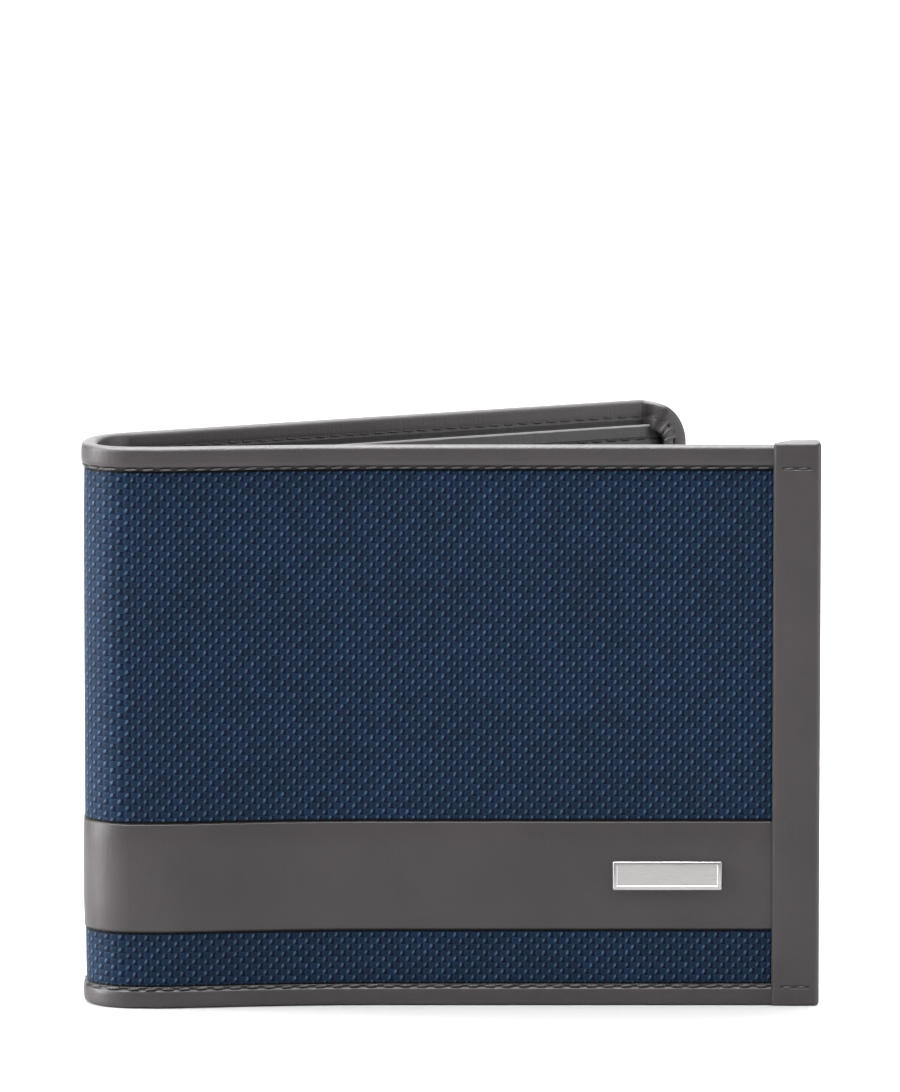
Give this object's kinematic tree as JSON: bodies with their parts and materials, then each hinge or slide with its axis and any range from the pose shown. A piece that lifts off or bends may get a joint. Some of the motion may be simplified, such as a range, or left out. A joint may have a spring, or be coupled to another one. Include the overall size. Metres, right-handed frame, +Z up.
{
  "type": "bifold wallet",
  "caption": "Two-leaf folding wallet: woven nylon shell edged with leather, soft folding spine, note compartment and stepped card pockets.",
  "frame": {"origin": "centre of the bounding box in plan, on the surface the wallet stands on", "axes": "+X along the front leaf away from the fold, +Y from the front leaf's outer face towards the back leaf, +Z up"},
  "size_m": [0.115, 0.071, 0.0885],
  "materials": {
    "ballistic_nylon": "heavy two-over-one basket weave nylon, navy, dull sheen",
    "leather_outside": "smooth fine-grain calf leather, warm grey, satin",
    "leather_inside": "smooth fine-grain leather, warm grey, satin",
    "lining_cloth": "fine plain-weave polyester lining, charcoal",
    "stiffener_board": "bonded fibre interlining, hidden",
    "brushed_metal": "brushed nickel-plated zinc, bevelled edge",
    "clip_metal": "plain thin steel, hidden"
  },
  "bodies": {
    "front_leaf": {"band_front": "leather_outside", "bottom_binding_front": "leather_outside", "card_pocket_front_1": "leather_inside", "card_pocket_front_2": "leather_inside", "card_pocket_front_3": "leather_inside", "card_pocket_front_4": "leather_inside", "divider_front": "leather_inside", "end_strip_front": "leather_outside", "lining_front": "lining_cloth", "metal_plate": "brushed_metal", "nylon_front": "ballistic_nylon", "plate_clip": "clip_metal", "pocket_seams_front": "leather_inside", "slip_panel_front": "leather_inside", "stiffener_front": "stiffener_board", "top_binding_front": "leather_outside"},
    "spine_1": {"band_spine_1": "leather_outside", "bottom_binding_spine_1": "leather_outside", "divider_spine_1": "leather_inside", "lining_spine_1": "lining_cloth", "nylon_spine_1": "ballistic_nylon", "stiffener_spine_1": "stiffener_board", "top_binding_spine_1": "leather_outside"},
    "spine_2": {"band_spine_2": "leather_outside", "bottom_binding_spine_2": "leather_outside", "divider_spine_2": "leather_inside", "lining_spine_2": "lining_cloth", "nylon_spine_2": "ballistic_nylon", "stiffener_spine_2": "stiffener_board", "top_binding_spine_2": "leather_outside"},
    "spine_3": {"band_spine_3": "leather_outside", "bottom_binding_spine_3": "leather_outside", "divider_spine_3": "leather_inside", "lining_spine_3": "lining_cloth", "nylon_spine_3": "ballistic_nylon", "stiffener_spine_3": "stiffener_board", "top_binding_spine_3": "leather_outside"},
    "back_leaf": {"band_back": "leather_outside", "bottom_binding_back": "leather_outside", "card_pocket_back_1": "leather_inside", "card_pocket_back_2": "leather_inside", "card_pocket_back_3": "leather_inside", "card_pocket_back_4": "leather_inside", "divider_back": "leather_inside", "end_binding_back": "leather_outside", "lining_back": "lining_cloth", "nylon_back": "ballistic_nylon", "pocket_seams_back": "leather_inside", "slip_panel_back": "leather_inside", "stiffener_back": "stiffener_board", "top_binding_back": "leather_outside"}
  },
  "joints": [
    {"name": "fold_1", "type": "hinge", "parent": "front_leaf", "child": "spine_1", "pos_m": [-0.05232, -0.03433, 0.044], "axis": [0, 0, 1], "range_deg": [-7.5, 37.5]},
    {"name": "fold_2", "type": "hinge", "parent": "spine_1", "child": "spine_2", "pos_m": [-0.05589, -0.03159, 0.044], "axis": [0, 0, 1], "range_deg": [-7.5, 37.5]},
    {"name": "fold_3", "type": "hinge", "parent": "spine_2", "child": "spine_3", "pos_m": [-0.05747, -0.02466, 0.044], "axis": [0, 0, 1], "range_deg": [-7.5, 37.5]},
    {"name": "fold_4", "type": "hinge", "parent": "spine_3", "child": "back_leaf", "pos_m": [-0.05452, -0.01753, 0.044], "axis": [0, 0, 1], "range_deg": [-7.5, 37.5]}
  ]
}
